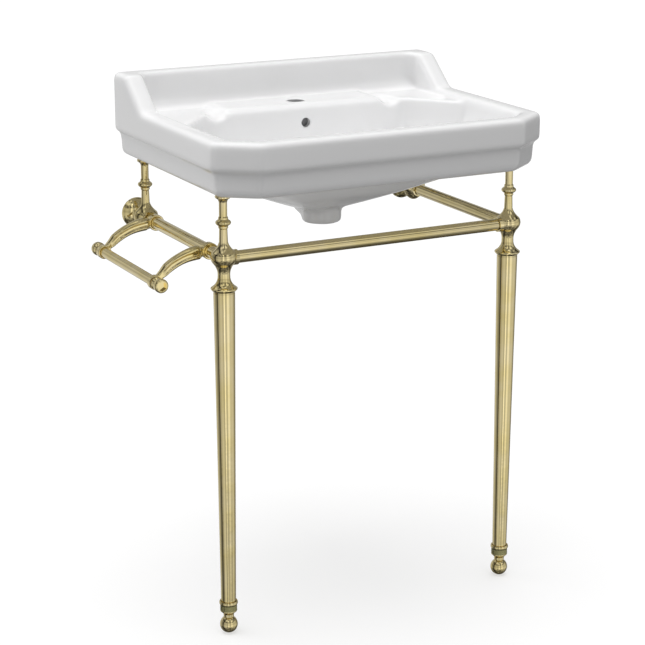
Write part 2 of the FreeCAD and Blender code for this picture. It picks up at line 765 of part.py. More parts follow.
def make_post(end, depth, side_name, side):
    """Slender post with a bead and a cup under the basin, studded into its knuckle."""
    body = new_body(f"post_{end}_{side_name}", POST_X * side, -depth)
    shaft, bead, cup = d.post_diameter / 2, d.bead_diameter / 2, d.cup_diameter / 2
    stud, edge, collar = d.post_stud_diameter / 2, d.edge_break, d.bead_collar_diameter / 2
    stud_end = KNUCKLE_TOP_Z - d.post_stud_length
    middle = (KNUCKLE_TOP_Z + POST_TOP - d.cup_height) / 2
    step = d.bead_height / 11
    lower = [
        (shaft, middle - step * 5.5), (collar, middle - step * 4.5),
        (collar, middle - step * 3), (bead - step, middle - step * 2, step * 2.1),
    ]
    upper = [
        (bead - step, middle + step * 2), (collar, middle + step * 3),
        (collar, middle + step * 4.5), (shaft, middle + step * 5.5),
    ]
    outline = profile(body, "turned", "XZ_Plane", [
        (0, stud_end), (stud, stud_end), (stud, KNUCKLE_TOP_Z),
        (d.knuckle_top_diameter / 2, KNUCKLE_TOP_Z), *lower, *upper,
        (shaft, POST_TOP - d.cup_height, -d.cup_height * 0.65),
        (cup - edge * 1.5, POST_TOP - d.cup_height * 0.4), (cup, POST_TOP - d.cup_height * 0.3),
        (cup, POST_TOP - edge * 2), (cup - edge * 1.5, POST_TOP), (0, POST_TOP),
    ])
    turn(body, outline)


def make_pad(end, depth, side_name, side):
    """Soft disc between a post's cup and the basin."""
    body = new_body(f"pad_{end}_{side_name}", POST_X * side, -depth)
    disc = circles(body, "disc", "XY_Plane", [(0, 0, d.pad_diameter / 2)], POST_TOP)
    extrude(body, disc, d.pad_thickness)


def tube(body, role, length, height, outer, inner, offset):
    """A straight tube, or a bar where inner is None."""
    section = circles(body, "section", role, [(0, height, outer)], offset)
    extrude(body, section, length)
    if inner is not None:
        hollow = circles(body, "hollow", role, [(0, height, inner)], offset)
        extrude(body, hollow, length, cut=True, flip=True)


def make_crossbar():
    """Tube between the two front knuckles, seated on their socket floors."""
    body = new_body("crossbar", 0, -d.front_post_depth)
    half = POST_X - d.socket_floor
    tube(body, "YZ_Plane", half * 2, RAIL_Z, RAIL_R, RAIL_R - d.rail_wall, -half)


def make_side_rail(side_name, side):
    """Tube from the front knuckle to the rear one."""
    body = new_body(f"rail_{side_name}", POST_X * side)
    start = d.rear_post_depth + d.socket_floor
    length = d.front_post_depth - d.socket_floor - start
    tube(body, "XZ_Plane", length, RAIL_Z, RAIL_R, RAIL_R - d.rail_wall, start)


def make_flange(side_name, side):
    """Domed wall flange whose neck seats in the rear knuckle, with a hole for a wall stud."""
    body = new_body(f"flange_{side_name}", POST_X * side)
    rim, lip, edge = d.flange_diameter / 2, d.flange_neck_lip, d.edge_break
    end = d.rear_post_depth - d.socket_floor
    sketch = profile(body, "turned", "XY_Plane", [
        (0, -d.wall_stud_depth), (d.wall_stud_diameter / 2, -d.wall_stud_depth),
        (d.wall_stud_diameter / 2, 0), (rim, 0), (rim, -d.flange_rim),
        (rim - edge * 1.5, -d.flange_rim - edge * 1.5, -rim),
        (RAIL_R + lip, -d.flange_dome, lip * 2), (RAIL_R, -d.flange_dome - lip * 1.3),
        (RAIL_R, -end), (0, -end),
    ], RAIL_Z)
    turn(body, sketch)


# ---------------------------------------------------------------- legs and feet

def make_leg(side_name, side):
    """Tapered tube from under the knuckle's collar down into the ferrule."""
    body = new_body(f"leg_{side_name}", POST_X * side, -d.front_post_depth)
    top, foot, edge = d.leg_top_diameter / 2, d.leg_foot_diameter / 2, d.edge_break
    outline = profile(body, "turned", "XZ_Plane", [
        (LEG_BORE_R, d.leg_end_height), (foot, d.leg_end_height),
        (foot, d.ferrule_top + edge * 3), (top, COLLAR_SEAT_Z - edge * 4),
        (top - edge, COLLAR_SEAT_Z), (LEG_BORE_R, COLLAR_SEAT_Z),
    ])
    turn(body, outline)


def make_ferrule(side_name, side):
    """Cup at the leg's foot, with a lip round the leg and a hole for the foot's stud."""
    body = new_body(f"ferrule_{side_name}", POST_X * side, -d.front_post_depth)
    inside = d.leg_foot_diameter / 2 + d.stud_clearance
    lip, waist, edge = d.ferrule_lip_diameter / 2, d.ferrule_waist_diameter / 2, d.edge_break
    hole = STUD_R + edge
    top, bottom = d.ferrule_top, d.ferrule_bottom
    outline = profile(body, "turned", "XZ_Plane", [
        (hole, bottom), (waist - edge * 3, bottom), (waist, bottom + edge * 3),
        (waist, top - edge * 8), (lip - edge, top - edge * 6.5), (lip, top - edge * 5),
        (lip, top - edge * 2), (lip - edge, top), (inside + edge, top),
        (inside, top - edge * 2), (inside, d.leg_end_height), (hole, d.leg_end_height),
    ])
    turn(body, outline)


def make_bush(side_name, side):
    """Threaded bush in the leg's bore that the foot's stud runs in."""
    body = new_body(f"bush_{side_name}", POST_X * side, -d.front_post_depth)
    inside, edge = STUD_R + d.stud_running_clearance, d.edge_break
    bottom, top = d.leg_end_height, d.leg_end_height + d.plug_length
    outline = profile(body, "turned", "XZ_Plane", [
        (inside, bottom), (PLUG_R, bottom), (PLUG_R, top - edge), (PLUG_R - edge, top),
        (inside, top),
    ])
    turn(body, outline)


def make_foot(side_name, side):
    """Levelling foot: a ball and its neck on a stud."""
    body = new_body(f"foot_{side_name}", POST_X * side, -d.front_post_depth)
    ball, neck, edge = d.ball_diameter / 2, d.foot_neck_diameter / 2, d.edge_break
    waist = neck * 0.8
    crown = ball + (ball * ball - waist * waist).root()
    top = d.ferrule_bottom - d.foot_gap
    end = top + d.stud_length
    outline = profile(body, "turned", "XZ_Plane", [
        (0, 0, ball), (ball, ball, ball), (waist, crown), (waist, crown + edge / 2),
        (neck, crown + edge * 1.5), (neck, top - edge), (neck - edge, top), (STUD_R, top),
        (STUD_R, end - edge), (STUD_R - edge, end), (0, end),
    ])
    turn(body, outline)


# ---------------------------------------------------------------- towel rail

def make_arm(end, depth):
    """Curved arm with a clamp ring on the left rail and an eye for the towel bar."""
    body = new_body(f"towel_arm_{end}", 0, -depth)
    root_half = d.arm_root_height / 2
    over = d.arm_reach + d.arm_tip_across
    under = d.arm_reach - d.arm_tip_across
    fall_over = d.arm_drop - d.arm_tip_down + root_half
    fall_under = d.arm_drop + d.arm_tip_down - root_half
    start = -POST_X - SOCKET_R
    run_over = over - SOCKET_R
    run_under = under - SOCKET_R
    radius_over = (run_over * run_over + fall_over * fall_over) / (2 * fall_over)
    radius_under = (run_under * run_under + fall_under * fall_under) / (2 * fall_under)
    outline = profile(body, "arm_side", "XZ_Plane", [
        (start, RAIL_Z + root_half, radius_over),
        (-POST_X - over, EYE_Z + d.arm_tip_down),
        (-POST_X - under, EYE_Z - d.arm_tip_down, -radius_under),
        (start, RAIL_Z - root_half),
    ])
    extrude(body, outline, d.arm_width, middle=True)
    fillet(body, "arm_edges", d.arm_edge_radius, lambda edge: (
        "Circle" in edge.Curve.TypeId and near(edge.BoundBox.YMin, edge.BoundBox.YMax)))
    ring = circles(body, "clamp_ring", "XZ_Plane",
                   [(-POST_X, RAIL_Z, d.clamp_ring_diameter / 2)])
    extrude(body, ring, d.arm_width, middle=True)
    eye = circles(body, "eye", "XZ_Plane", [(EYE_X, EYE_Z, d.eye_diameter / 2)])
    extrude(body, eye, d.arm_width, middle=True)
    bores = circles(body, "bores", "XZ_Plane", [
        (-POST_X, RAIL_Z, SOCKET_R),
        (EYE_X, EYE_Z, d.towel_bar_diameter / 2 + d.socket_clearance),
    ])
    extrude(body, bores, d.arm_width + d.edge_break * 2, cut=True, middle=True)


def make_towel_bar():
    """Bar through both eyes."""
    body = new_body("towel_bar", EYE_X)
    start = ARM_REAR - d.arm_width / 2 - d.bar_overhang
    length = ARM_FRONT - ARM_REAR + d.arm_width + 2 * d.bar_overhang
    tube(body, "XZ_Plane", length, EYE_Z, d.towel_bar_diameter / 2, None, start)


def make_finial(end, start, direction):
    """Button on an end of the towel bar, with a hexagon recess in its face."""
    body = new_body(f"finial_{end}", EYE_X)
    big, flare, edge = d.finial_diameter / 2, d.eye_diameter / 2 - d.edge_break, d.edge_break
    waist = big - edge * 2.5
    length = d.finial_length
    steps = [(0, 0), (flare, 0), (flare, edge * 3), (waist, edge * 4.5), (waist, edge * 7),
             (big, edge * 9.5), (big, length - edge * 4), (big - edge * 3, length), (0, length)]
    points = [(x, -(start + out * direction)) for x, out in steps]
    turn(body, profile(body, "turned", "XY_Plane", points, EYE_Z))
    corner = d.finial_hex / math.sqrt(3)
    turns = [math.radians(60 * i) for i in range(6)]
    hexagon = profile(body, "hex_recess", "XZ_Plane", [
        (corner * math.cos(angle), EYE_Z + corner * math.sin(angle)) for angle in turns
    ], start + length * direction)
    extrude(body, hexagon, d.finial_hex_depth, cut=True, flip=direction < 0)


# ---------------------------------------------------------------- whole

def make_all():
    """Every sub-part, in order from the top down."""
    make_basin()
    make_crossbar()
    ends = (("front", d.front_post_depth), ("rear", d.rear_post_depth))
    for side_name, side in SIDES:
        for end, depth in ends:
            make_post(end, depth, side_name, side)
            make_pad(end, depth, side_name, side)
        make_front_knuckle(side_name, side)
        make_rear_knuckle(side_name, side)
        make_side_rail(side_name, side)
        make_flange(side_name, side)
        make_leg(side_name, side)
        make_ferrule(side_name, side)
        make_bush(side_name, side)
        make_foot(side_name, side)
    make_arm("front", ARM_FRONT)
    make_arm("rear", ARM_REAR)
    make_towel_bar()
    outside = d.arm_width / 2 + d.bar_overhang
    make_finial("front", ARM_FRONT + outside, 1)
    make_finial("rear", ARM_REAR - outside, -1)


def write_all():
    """Checks every object and every solid, then writes one file per sub-part."""
    doc.recompute()
    for thing in doc.Objects:
        if {"Invalid", "Error"} & set(thing.State):
            raise RuntimeError(f"{thing.Label}: {thing.State}")
    bodies = [thing for thing in doc.Objects if thing.TypeId == "PartDesign::Body"]
    for body in bodies:
        if body.Shape.isNull() or not body.Shape.isValid() or len(body.Shape.Solids) != 1:
            raise RuntimeError(f"{body.Label}: not one sound solid")
    os.makedirs("parts", exist_ok=True)
    for body in bodies:
        body.Shape.exportStep(f"parts/{body.Label}.step")
        box = body.Shape.BoundBox
        print(f"{body.Label}: {body.Shape.Volume / 1000:.1f} cm3, "
              f"x {box.XMin:.1f} to {box.XMax:.1f}, y {box.YMin:.1f} to {box.YMax:.1f}, "
              f"z {box.ZMin:.1f} to {box.ZMax:.1f}")


make_all()
write_all()
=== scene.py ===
import math

import bmesh
import bpy
import numpy as np
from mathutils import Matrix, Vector


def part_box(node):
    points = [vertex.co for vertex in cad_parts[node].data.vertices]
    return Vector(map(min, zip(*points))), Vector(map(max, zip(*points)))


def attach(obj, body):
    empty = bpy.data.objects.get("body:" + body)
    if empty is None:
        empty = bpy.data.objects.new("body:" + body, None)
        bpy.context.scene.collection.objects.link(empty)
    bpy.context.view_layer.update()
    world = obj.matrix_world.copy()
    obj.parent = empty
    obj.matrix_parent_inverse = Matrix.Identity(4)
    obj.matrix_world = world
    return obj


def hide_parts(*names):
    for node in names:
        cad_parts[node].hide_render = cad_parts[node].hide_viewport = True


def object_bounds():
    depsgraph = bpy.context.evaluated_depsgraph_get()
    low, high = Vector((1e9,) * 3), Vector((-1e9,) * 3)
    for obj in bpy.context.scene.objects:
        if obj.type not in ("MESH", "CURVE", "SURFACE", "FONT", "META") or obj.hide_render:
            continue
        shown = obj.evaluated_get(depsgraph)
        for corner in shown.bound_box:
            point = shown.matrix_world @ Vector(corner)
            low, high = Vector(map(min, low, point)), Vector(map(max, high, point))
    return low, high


bl_info = {
    "name": "Console Basin",
    "version": (1, 0, 0),
    "blender": (4, 5, 0),
    "location": "View3D > Sidebar > Console Basin",
    "description": "Dresses a china console basin on turned brass legs",
    "category": "Object",
}

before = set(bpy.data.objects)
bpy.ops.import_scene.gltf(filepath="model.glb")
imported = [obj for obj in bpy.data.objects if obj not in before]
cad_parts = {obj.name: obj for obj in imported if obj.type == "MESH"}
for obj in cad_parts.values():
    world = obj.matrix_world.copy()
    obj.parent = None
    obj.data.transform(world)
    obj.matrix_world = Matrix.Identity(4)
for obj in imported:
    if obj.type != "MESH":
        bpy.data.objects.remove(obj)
CAD_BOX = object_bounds()

CHINA_NODES = ["basin"]
CUSHION_NODES = [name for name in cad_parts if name.startswith("pad_")]
BRASS_NODES = [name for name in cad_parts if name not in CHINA_NODES + CUSHION_NODES]
FLOOR_Z = CAD_BOX[0][2]
ARM_NODES = ("towel_arm_front", "towel_arm_rear")
KNUCKLE_NODES = tuple(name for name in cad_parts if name.startswith("knuckle_"))
KNOB_NODES = ("finial_front", "finial_rear")
FERRULE_NODES = tuple(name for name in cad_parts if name.startswith("ferrule_"))
# Axes of the legs and of the knuckles at the wall, in metres.
LEG_X, LEG_Y, REAR_Y = 0.2862, -0.396, -0.0473


# ---------------------------------------------------------------- sizes and colours

class ChinaSettings(bpy.types.PropertyGroup):
    glaze: bpy.props.FloatVectorProperty(
        name="Glaze", description="Colour of the fired glaze",
        subtype="COLOR", size=3, min=0, max=1, default=(0.93, 0.93, 0.935))
    # Bare body: painted shade, the dark colour laid in the overflow duct and the tap hole.
    body: bpy.props.FloatVectorProperty(
        name="Bare body", description="Colour of the unglazed china inside the small holes",
        subtype="COLOR", size=3, min=0, max=1, default=(0.22, 0.22, 0.225))
    grain: bpy.props.FloatProperty(
        name="Grain", description="Cell size from which the soft shell is formed",
        default=0.0026, unit="LENGTH")
    softness: bpy.props.IntProperty(
        name="Softness", description="Passes that round the edges of the shell", default=20, min=0)
    overflow_place: bpy.props.FloatVectorProperty(
        name="Overflow", description="Middle of the overflow hole on the bowl's back",
        size=3, subtype="XYZ", default=(0.0, -0.140, 0.025))
    overflow_radius: bpy.props.FloatProperty(
        name="Overflow radius", description="Radius of the overflow hole",
        default=0.00775, unit="LENGTH")
    tap_place: bpy.props.FloatVectorProperty(
        name="Tap hole", description="Middle of the tap hole on the deck",
        size=3, subtype="XYZ", default=(0.0, -0.098, 0.060))
    tap_radius: bpy.props.FloatProperty(
        name="Tap hole radius", description="Radius of the tap hole",
        default=0.016, unit="LENGTH")
    ripple: bpy.props.FloatProperty(
        name="Ripple", description="Height of the slow waves in the glaze",
        default=0.00025, unit="LENGTH")
    roughness: bpy.props.FloatProperty(
        name="Roughness", description="Roughness of the glaze", default=0.12, min=0, max=1)


class BrassSettings(bpy.types.PropertyGroup):
    polish: bpy.props.FloatVectorProperty(
        name="Polished brass", description="Colour of the polished metal",
        subtype="COLOR", size=3, min=0, max=1, default=(0.83, 0.71, 0.41))
    deep: bpy.props.FloatVectorProperty(
        name="Deep brass", description="Colour where the polish is a little warmer",
        subtype="COLOR", size=3, min=0, max=1, default=(0.77, 0.64, 0.29))
    roughness: bpy.props.FloatProperty(
        name="Roughness", description="Mean roughness of the polish", default=0.04,
        min=0, max=1)


class FittingSettings(bpy.types.PropertyGroup):
    arm_swell: bpy.props.FloatProperty(
        name="Arm swell", description="How far a towel arm's sides stand out past the plain bar",
        default=0.0025, unit="LENGTH")
    arm_root_swell: bpy.props.FloatProperty(
        name="Arm root swell", description="More of the same beside the clamp on the rail",
        default=0.0016, unit="LENGTH")
    flute_depth: bpy.props.FloatProperty(
        name="Flute depth", description="Depth of the hollow along an arm's sides",
        default=0.0016, unit="LENGTH")
    flute_half: bpy.props.FloatProperty(
        name="Flute half width", description="Half width of the hollow along an arm's sides",
        default=0.0048, unit="LENGTH")
    bulb_swell: bpy.props.FloatProperty(
        name="Knuckle swell", description="How far a knuckle's bulb stands out",
        default=0.0022, unit="LENGTH")
    knob_radius: bpy.props.FloatProperty(
        name="Knob radius", description="Radius of the knobs on the towel bar",
        default=0.0124, unit="LENGTH")
    recess_radius: bpy.props.FloatProperty(
        name="Recess radius", description="Corner radius of the hexagon in a knob",
        default=0.0090, unit="LENGTH")
    knurl_teeth: bpy.props.IntProperty(
        name="Knurl teeth", description="Teeth round a ferrule", default=44, min=3)
    knurl_pitch: bpy.props.FloatProperty(
        name="Knurl pitch", description="Height of one tooth", default=0.0019, unit="LENGTH")
    knurl_depth: bpy.props.FloatProperty(
        name="Knurl depth", description="Depth of the knurl", default=0.0007, unit="LENGTH")
    knurl_cell: bpy.props.FloatProperty(
        name="Knurl cell", description="Cell size from which a ferrule is formed",
        default=0.0004, unit="LENGTH")


class CushionSettings(bpy.types.PropertyGroup):
    tint: bpy.props.FloatVectorProperty(
        name="Cushion", description="Colour of the soft discs under the basin",
        subtype="COLOR", size=3, min=0, max=1, default=(0.62, 0.62, 0.60))


class StageSettings(bpy.types.PropertyGroup):
    floor: bpy.props.FloatVectorProperty(
        name="Floor", description="Colour of the floor", subtype="COLOR",
        size=3, min=0, max=1, default=(0.93, 0.93, 0.93))
    lens: bpy.props.FloatProperty(
        name="Lens", description="Focal length in mm on a 36 mm sensor", default=110.1)
    camera_place: bpy.props.FloatVectorProperty(
        name="Camera", description="Place of the camera", size=3, subtype="XYZ",
        default=(-1.6306, -3.3786, 0.6847))
    yaw: bpy.props.FloatProperty(
        name="Yaw", description="Turn of the view to the right", subtype="ANGLE",
        default=math.radians(27.22))
    pitch: bpy.props.FloatProperty(
        name="Pitch", description="Dip of the view", subtype="ANGLE",
        default=math.radians(16.11))


# ---------------------------------------------------------------- shader expressions

# Half the width over which a mask goes from nought to one.
HALF_STEP = 0.0005


class Wire:
    """A shader socket that can be used in sums and products."""

    def __init__(self, tree, socket):
        self.tree = tree
        self.socket = socket

    def calculate(self, operation, *values):
        return node(self.tree, "ShaderNodeMath", {"operation": operation},
                    {i: value for i, value in enumerate(values)})[0]

    def __add__(self, other):
        return self.calculate("ADD", self, other)

    def __sub__(self, other):
        return self.calculate("SUBTRACT", self, other)

    def __mul__(self, other):
        return self.calculate("MULTIPLY", self, other)

    def __rsub__(self, other):
        return self.calculate("SUBTRACT", other, self)

    __radd__ = __add__
    __rmul__ = __mul__


def node(tree, kind, settings=None, inputs=None):
    """Adds a node: settings first, then its inputs. Gives its outputs as wires."""
    made = tree.nodes.new(kind)
    for word, value in (settings or {}).items():
        if word == "stops":
            ramp = made.color_ramp
            while len(ramp.elements) < len(value):
                ramp.elements.new(1.0)
            for element, (place, level) in zip(ramp.elements, value):
                element.position = place
                element.color = (level, level, level, 1.0)
        else:
            setattr(made, word, value)
    for where, value in (inputs or {}).items():
        socket = made.inputs[where]
        if isinstance(value, Wire):
            tree.links.new(value.socket, socket)
        else:
            socket.default_value = value
    return [Wire(tree, socket) for socket in made.outputs if socket.enabled]


def blank_material(name):
    """A new material and its emptied tree."""
    material = bpy.data.materials.new(name)
    material.use_nodes = True
    material.node_tree.nodes.clear()
    return material, material.node_tree


def finish_material(tree, shader):
    """Links a shader to the material output."""
    node(tree, "ShaderNodeOutputMaterial", inputs={"Surface": shader})


def object_place(tree):
    """Place on the object in metres."""
    return node(tree, "ShaderNodeTexCoord")[3]


def noise(tree, place, scale, detail=2.0, roughness=0.5):
    """Smooth noise between 0 and 1."""
    return node(tree, "ShaderNodeTexNoise", inputs={
        "Vector": place, "Scale": scale, "Detail": detail, "Roughness": roughness})[0]


def mix_colour(tree, factor, first, second):
    """Colour between two colours."""
    first = first if isinstance(first, Wire) else (*first, 1.0)
    second = second if isinstance(second, Wire) else (*second, 1.0)
    return node(tree, "ShaderNodeMix", {"data_type": "RGBA"},
                {0: factor, 6: first, 7: second})[0]


def map_range(tree, value, low, high, to_low, to_high):
    """Straight map of one range to another, held at its ends."""
    return node(tree, "ShaderNodeMapRange", {"clamp": True}, {
        "Value": value, "From Min": low, "From Max": high, "To Min": to_low,
        "To Max": to_high})[0]


def bump(tree, height, distance):
    """Normal raised by a height in metres."""
    return node(tree, "ShaderNodeBump", inputs={
        "Height": height, "Distance": distance, "Strength": 1.0})[0]


def distance_from(first, second, at_first, at_second):
    """Distance from a line that runs along the third axis."""
    a, b = first - at_first, second - at_second
    return a.calculate("SQRT", a * a + b * b)


def step_up(tree, value, edge):
    """Nought below an edge and one above it, over a millimetre."""
    return map_range(tree, value, edge - HALF_STEP, edge + HALF_STEP, 0.0, 1.0)


def step_down(tree, value, edge):
    """One below an edge and nought above it, over a millimetre."""
    return map_range(tree, value, edge - HALF_STEP, edge + HALF_STEP, 1.0, 0.0)


def finish_pieces(pieces, material):
    """Gives pieces a material in place of what they had."""
    for piece in pieces:
        piece.data.materials.clear()
        piece.data.materials.append(material)


def dress(names, material):
    """Gives CAD nodes a material."""
    finish_pieces([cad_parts[name] for name in names], material)


# ---------------------------------------------------------------- meshes

def add_object(name, data):
    """A new object in the scene."""
    piece = bpy.data.objects.new(name, data)
    bpy.context.collection.objects.link(piece)
    return piece


def points_of(mesh):
    """Places of a mesh's points, one row each."""
    places = np.empty(len(mesh.vertices) * 3)
    mesh.vertices.foreach_get("co", places)
    return places.reshape(-1, 3)


def move_points(mesh, places):
    """Puts a mesh's points in new places."""
    mesh.vertices.foreach_set("co", places.ravel())
    mesh.update()


def shade_smooth(mesh):
    """Smooth shading on every face."""
    mesh.polygons.foreach_set("use_smooth", [True] * len(mesh.polygons))


def mesh_from(name, shape):
    """A mesh from a finished bmesh, which it frees."""
    mesh = bpy.data.meshes.new(name)
    shape.to_mesh(mesh)
    shape.free()
    return mesh


def modified(mesh, kind, **values):
    """The mesh that one modifier makes of a mesh."""
    piece = add_object("forming", mesh)
    step = piece.modifiers.new("step", kind)
    for word, value in values.items():
        setattr(step, word, value)
    graph = bpy.context.evaluated_depsgraph_get()
    mesh = bpy.data.meshes.new_from_object(piece.evaluated_get(graph))
    bpy.data.objects.remove(piece)
    return mesh


def in_cells(mesh, cell):
    """A mesh formed again in cells of one size."""
    return modified(mesh, "REMESH", mode="VOXEL", voxel_size=cell)


def bored(mesh, place, sides, radius, length):
    """A mesh with a prism cut out of it, whose middle is at a place and which runs along y."""
    shape = bmesh.new()
    bmesh.ops.create_cone(shape, cap_ends=True, segments=sides, radius1=radius,
                          radius2=radius, depth=length)
    core = add_object("core", mesh_from("core", shape))
    core.location = place
    core.rotation_euler = (math.pi / 2, 0, 0)
    mesh = modified(mesh, "BOOLEAN", object=core, operation="DIFFERENCE", solver="EXACT")
    bpy.data.objects.remove(core)
    return mesh


def rise(values, low, high):
    """Smooth step from nought to one."""
    share = np.clip((values - low) / (high - low), 0.0, 1.0)
    return share * share * (3 - 2 * share)


def away_from_axis(places, x, y):
    """Steps from an upright axis out to each point, and their lengths."""
    out = places[:, :2] - np.array((x, y))
    return out, np.linalg.norm(out, axis=1)


def side_of(node_name):
    """X of the leg on the side that a node's name says."""
    return LEG_X if "right" in node_name else -LEG_X


def stand_in(name, node_name, mesh):
    """A piece that takes a node's place on the stand."""
    piece = add_object(name, mesh)
    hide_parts(node_name)
    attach(piece, "stand")
    return piece


# ---------------------------------------------------------------- basin shell

# How far a point goes towards its neighbours in one pass, which share of that is left at a
# crisp place, and the distance over which the full share comes back.
EDGE_PULL, CRISP_PULL, CRISP_FADE = 0.5, 0.08, 0.006
# Length and sides of the cut that opens the overflow, how much wider than each hole stays
# crisp, and the share of its faces that the shell keeps.
OVERFLOW_CUT, OVERFLOW_SIDES = 0.016, 48
OVERFLOW_CRISP, TAP_CRISP = 0.002, 0.003
SHELL_SHARE = 0.25


def round_edges(mesh, passes, crisp):
    """Moves each point towards its neighbours, which rounds edges and leaves flats.

    Round each crisp place, a middle and a radius, the points stay nearly where they are.
    """
    places = points_of(mesh)
    count = len(places)
    ends = np.empty(len(mesh.edges) * 2, dtype=np.int64)
    mesh.edges.foreach_get("vertices", ends)
    start, end = ends.reshape(-1, 2).T
    near = np.bincount(start, minlength=count) + np.bincount(end, minlength=count)
    pull = np.full(count, EDGE_PULL)
    for middle, radius in crisp:
        away = np.linalg.norm(places - np.array(middle), axis=1)
        pull *= CRISP_PULL + (1 - CRISP_PULL) * np.clip((away - radius) / CRISP_FADE, 0.0, 1.0)
    for _ in range(passes):
        for axis in range(3):
            column = places[:, axis]
            total = (np.bincount(start, weights=column[end], minlength=count)
                     + np.bincount(end, weights=column[start], minlength=count))
            places[:, axis] = column + (total / near - column) * pull
    move_points(mesh, places)


def soft_shell(settings):
    """The basin with an open overflow and the soft edges of fired china."""
    mesh = bored(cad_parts["basin"].data.copy(), settings.overflow_place,
                 OVERFLOW_SIDES, settings.overflow_radius, OVERFLOW_CUT)
    mesh = in_cells(mesh, settings.grain)
    round_edges(mesh, settings.softness, (
        (settings.tap_place, settings.tap_radius + TAP_CRISP),
        (settings.overflow_place, settings.overflow_radius + OVERFLOW_CRISP)))
    mesh = modified(mesh, "DECIMATE", ratio=SHELL_SHARE)
    shade_smooth(mesh)
    return stand_in("basin_china", "basin", mesh)


# ---------------------------------------------------------------- brass fittings

SMALLEST_REACH = 1e-6
# Share of its faces that a ferrule keeps, shares of its height that stay plain below and above
# its knurl, the height over which the knurl sets in, and how deep below the widest ring the
# knurled skin begins and is full.
FERRULE_SHARE = 0.45
PLAIN_BELOW, PLAIN_ABOVE = 0.2, 0.27
KNURL_FADE = 0.0007
SKIN_START, SKIN_FULL = 0.0016, 0.0008
# Height of a knuckle's bulb, how far up and down its swell runs out, the distances from the
# axis over which the swell sets in and those over which it ends.
BULB_Z, BULB_REACH = -0.142, 0.016
BULB_START, BULB_END = (0.006, 0.014), (0.024, 0.030)
# How far a swollen knuckle may stand out of the plain one's box.
BOX_ROOM = 0.004
# Stretches in x over which a towel arm's flutes set in and end, and its root swell sets in.
FLUTE_START, FLUTE_END, ROOT_START = (-0.382, -0.368), (-0.308, -0.300), (-0.345, -0.306)
# How squarely a face has to look sideways to be hollowed, and the share of a flute's half
# width that is at full depth.
SIDEWAYS = (0.5, 0.9)
FLUTE_FLOOR = 0.45
ARM_CELL = 0.0007
ARM_PASSES = 3
# Middle line of a towel arm between its clamp and its eye, as x and z.
ARM_LINE = (
    (-0.390, -0.1880), (-0.380, -0.1785), (-0.370, -0.1703), (-0.360, -0.1624),
    (-0.350, -0.1571), (-0.340, -0.1528), (-0.330, -0.1494), (-0.320, -0.1472),
    (-0.310, -0.1456), (-0.300, -0.1449), (-0.286, -0.1449),
)
# Outline of a knob from its seat out: share of its length and share of its radius.
KNOB_OUTLINE = (
    (0, 0.92), (0.09, 0.92), (0.12, 0.88), (0.17, 0.72), (0.24, 0.66), (0.36, 0.66),
    (0.42, 0.71), (0.47, 0.86), (0.52, 0.97), (0.57, 1.0), (0.86, 1.0), (0.91, 0.985),
    (0.96, 0.93), (0.99, 0.86), (1.0, 0.82),
)
KNOB_SIDES = 64
HEXAGON = 6
KNOB_SHARP = math.radians(35)


def push_out(places, out, reach, amount):
    """Moves points away from an upright axis."""
    places[:, :2] += out / np.maximum(reach, SMALLEST_REACH)[:, None] * amount[:, None]


def knurl_band():
    """The lowest and highest heights of the knurl on the ferrules."""
    low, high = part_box(FERRULE_NODES[0])
    span = high.z - low.z
    return low.z + span * PLAIN_BELOW, high.z - span * PLAIN_ABOVE


def knurled_ferrule(node_name, settings):
    """A ferrule with a diamond knurl cut round it."""
    bottom, top = knurl_band()
    mesh = in_cells(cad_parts[node_name].data.copy(), settings.knurl_cell)
    places = points_of(mesh)
    out, reach = away_from_axis(places, side_of(node_name), LEG_Y)
    z = places[:, 2]
    round_it = settings.knurl_teeth * np.arctan2(out[:, 1], out[:, 0])
    climb = z * 2 * math.pi / settings.knurl_pitch
    teeth = 0.5 + 0.5 * np.cos(round_it + climb) * np.cos(round_it - climb)
    in_band = rise(z, bottom, bottom + KNURL_FADE) * (1 - rise(z, top - KNURL_FADE, top))
    skin = reach[(z > bottom) & (z < top)].max()
    in_band *= rise(reach, skin - SKIN_START, skin - SKIN_FULL)
    push_out(places, out, reach, in_band * (teeth - 1) * settings.knurl_depth)
    move_points(mesh, places)
    mesh = modified(mesh, "DECIMATE", ratio=FERRULE_SHARE)
    shade_smooth(mesh)
    return stand_in(f"knurled_{node_name}", node_name, mesh)


def fluted_arm(node_name, settings):
    """A towel arm with full sides and a hollow along each."""
    mesh = in_cells(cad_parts[node_name].data.copy(), ARM_CELL)
    places = points_of(mesh)
    normals = np.empty(len(mesh.vertices) * 3)
    mesh.vertex_normals.foreach_get("vector", normals)
    normals = normals.reshape(-1, 3)
    x, y, z = places.T
    line_x, line_z = np.array(ARM_LINE).T
    free = rise(x, *FLUTE_START) * (1 - rise(x, *FLUTE_END))
    root = rise(x, *ROOT_START) * free
    lean = np.cos(np.arctan(np.interp(x, line_x, np.gradient(line_z, line_x))))
    aside = np.abs(z - np.interp(x, line_x, line_z)) * lean
    middle = (y.min() + y.max()) / 2
    hollow = rise(np.abs(normals[:, 1]), *SIDEWAYS) * (
        1 - rise(aside, settings.flute_half * FLUTE_FLOOR, settings.flute_half))
    swell = settings.arm_swell * free + settings.arm_root_swell * root
    moved = places + normals * swell[:, None]
    moved[:, 1] = (moved[:, 1] - np.sign(y - middle)
                   * (settings.flute_depth + swell * 0.5) * hollow * free)
    move_points(mesh, moved)
    round_edges(mesh, ARM_PASSES, ())
    shade_smooth(mesh)
    return stand_in(f"fluted_{node_name}", node_name, mesh)


